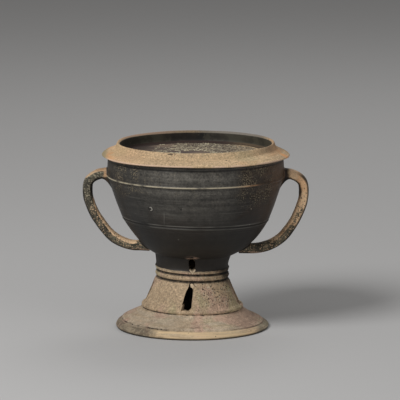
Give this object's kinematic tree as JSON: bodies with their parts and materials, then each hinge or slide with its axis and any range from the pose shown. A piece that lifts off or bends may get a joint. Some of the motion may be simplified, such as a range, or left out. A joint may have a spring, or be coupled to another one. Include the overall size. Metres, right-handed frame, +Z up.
{
  "type": "lidded two-handled pedestal cup",
  "caption": "Stoneware cup on a hollow windowed pedestal foot, with strap handles and a lift-off lid with an open ring and a recessed floor.",
  "frame": {"origin": "on the ground, under the middle of the whole object's outline, which is also the middle of the mouth", "axes": "+Z up through the lid, +X through the right handle, -Y towards the side the picture shows"},
  "size_m": [0.1946, 0.1618, 0.1608],
  "materials": {
    "cup_stoneware": "unglazed charcoal stoneware, tan from the waist down, faint wheel lines",
    "lid_stoneware": "unglazed tan stoneware with fine dark specks and a crust of ash in the recess"
  },
  "bodies": {
    "root": {"cup": "cup_stoneware", "lid": "lid_stoneware"}
  },
  "joints": []
}
